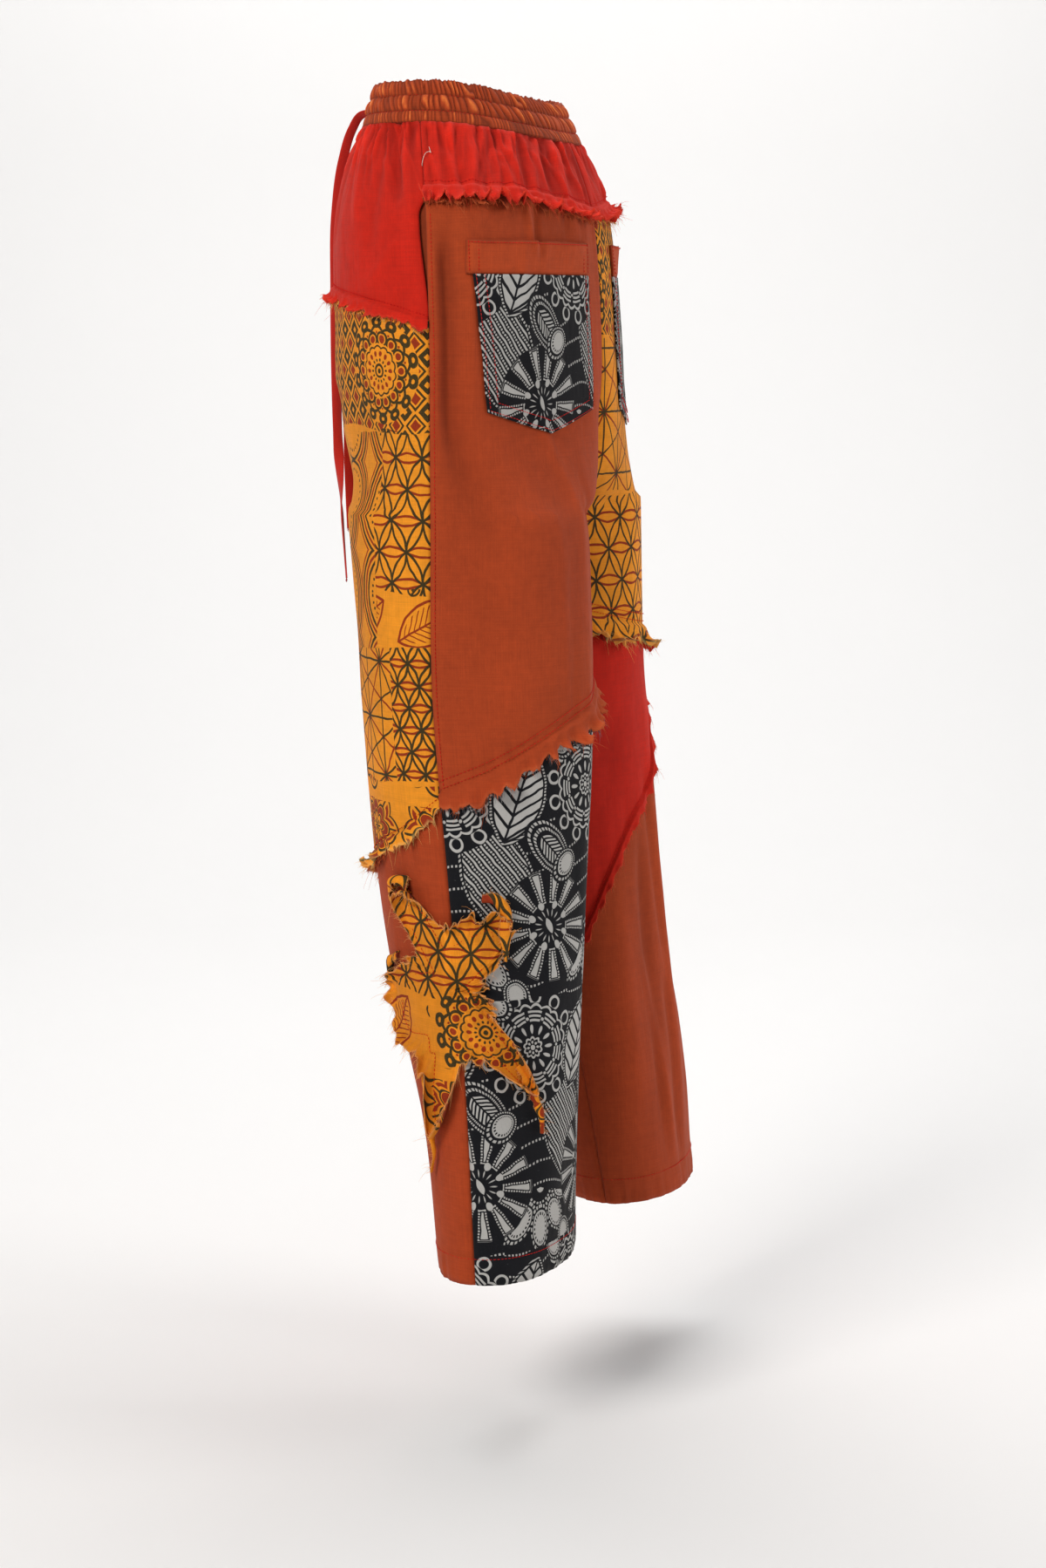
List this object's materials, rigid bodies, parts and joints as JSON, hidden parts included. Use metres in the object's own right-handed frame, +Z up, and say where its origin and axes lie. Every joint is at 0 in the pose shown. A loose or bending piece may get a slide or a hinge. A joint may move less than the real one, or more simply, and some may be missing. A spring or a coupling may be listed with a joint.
{
  "type": "palazzo pants",
  "caption": "Wide straight patchwork trousers in worn form, with a gathered waistband, raw-edged patches, patch pockets, a ragged star patch and a hanging drawstring.",
  "frame": {"origin": "in the middle of the waist opening, level with the top edge of the waistband at the front, where the wearer's waist holds it", "axes": "+Z up along the trousers, -Y towards the wearer's front, +X towards the wearer's left"},
  "size_m": [0.42, 0.2786, 0.9425],
  "materials": {
    "rust": "matt woven cotton",
    "red": "matt woven cotton",
    "ochre": "matt printed cotton",
    "black": "matt printed cotton"
  },
  "bodies": {
    "root": {"waistband": "rust", "yoke_back_left": "red", "yoke_back_right": "red", "front_left_upper": "red", "front_right_upper": "red", "front_left_middle": "ochre", "front_left_lower": "rust", "front_right_middle": "black", "front_right_lower": "rust", "back_left_upper": "rust", "back_left_lower": "black", "back_right_upper": "ochre", "back_right_middle": "red", "back_right_lower": "rust", "back_pocket_band_left": "rust", "back_pocket_band_right": "rust", "back_pocket_left": "black", "back_pocket_right": "black", "side_pocket_bag_left": "rust", "side_pocket_bag_right": "rust", "star_patch": "ochre", "drawstring_end_left": "red", "drawstring_end_right": "red"}
  },
  "joints": []
}
